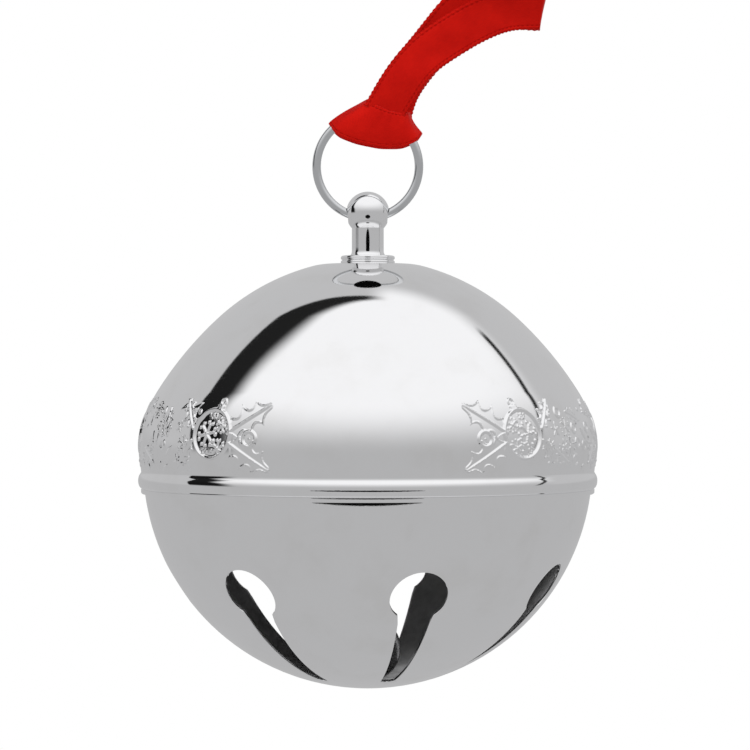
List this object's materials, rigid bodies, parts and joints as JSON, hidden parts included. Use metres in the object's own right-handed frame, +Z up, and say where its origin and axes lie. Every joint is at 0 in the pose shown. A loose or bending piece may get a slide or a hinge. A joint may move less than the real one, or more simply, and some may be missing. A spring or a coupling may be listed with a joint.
{
  "type": "sleigh bell ornament",
  "caption": "Hanging round sleigh bell with keyhole slots, an embossed frieze, a ball finial, a jump ring, a loose striker and a hitched satin ribbon loop.",
  "frame": {"origin": "the middle of the ribbon loop's far fold, where the ornament hangs from a hook or a branch", "axes": "+Z up along the bell's axis, +X towards the side that the ribbon leans to, -Y the front"},
  "size_m": [0.0762, 0.0762, 0.1161],
  "materials": {
    "silver_plate": "mirror polished silver plate",
    "finial_silver": "mirror polished silver plate",
    "washer_brass": "satin",
    "nut_brass": "satin",
    "ring_wire": "polished wire",
    "satin_red": "double-faced satin",
    "striker_steel": "ground ball"
  },
  "bodies": {
    "ribbon": {"ribbon_loop": "satin_red", "ribbon_hitch": "satin_red"},
    "ring": {"hanging_ring": "ring_wire"},
    "bell": {"upper_shell": "silver_plate", "lower_shell": "silver_plate", "finial": "finial_silver", "collar": "finial_silver", "inner_washer": "washer_brass", "lock_nut": "nut_brass"},
    "striker": {"pellet": "striker_steel"}
  },
  "joints": [
    {"name": "ring_turn", "type": "hinge", "parent": "ribbon", "child": "ring", "pos_m": [-0.0279, 0, -0.02597], "axis": [0, 1, 0], "range_deg": [-60, 60]},
    {"name": "bell_swing", "type": "hinge", "parent": "ring", "child": "bell", "pos_m": [-0.0279, 0, -0.03405], "axis": [1, 0, 0], "range_deg": [-100, 100]},
    {"name": "striker_roll", "type": "hinge", "parent": "bell", "child": "striker", "pos_m": [-0.0279, 0, -0.07534], "axis": [1, 0, 0], "range_deg": [-80, 80]}
  ]
}
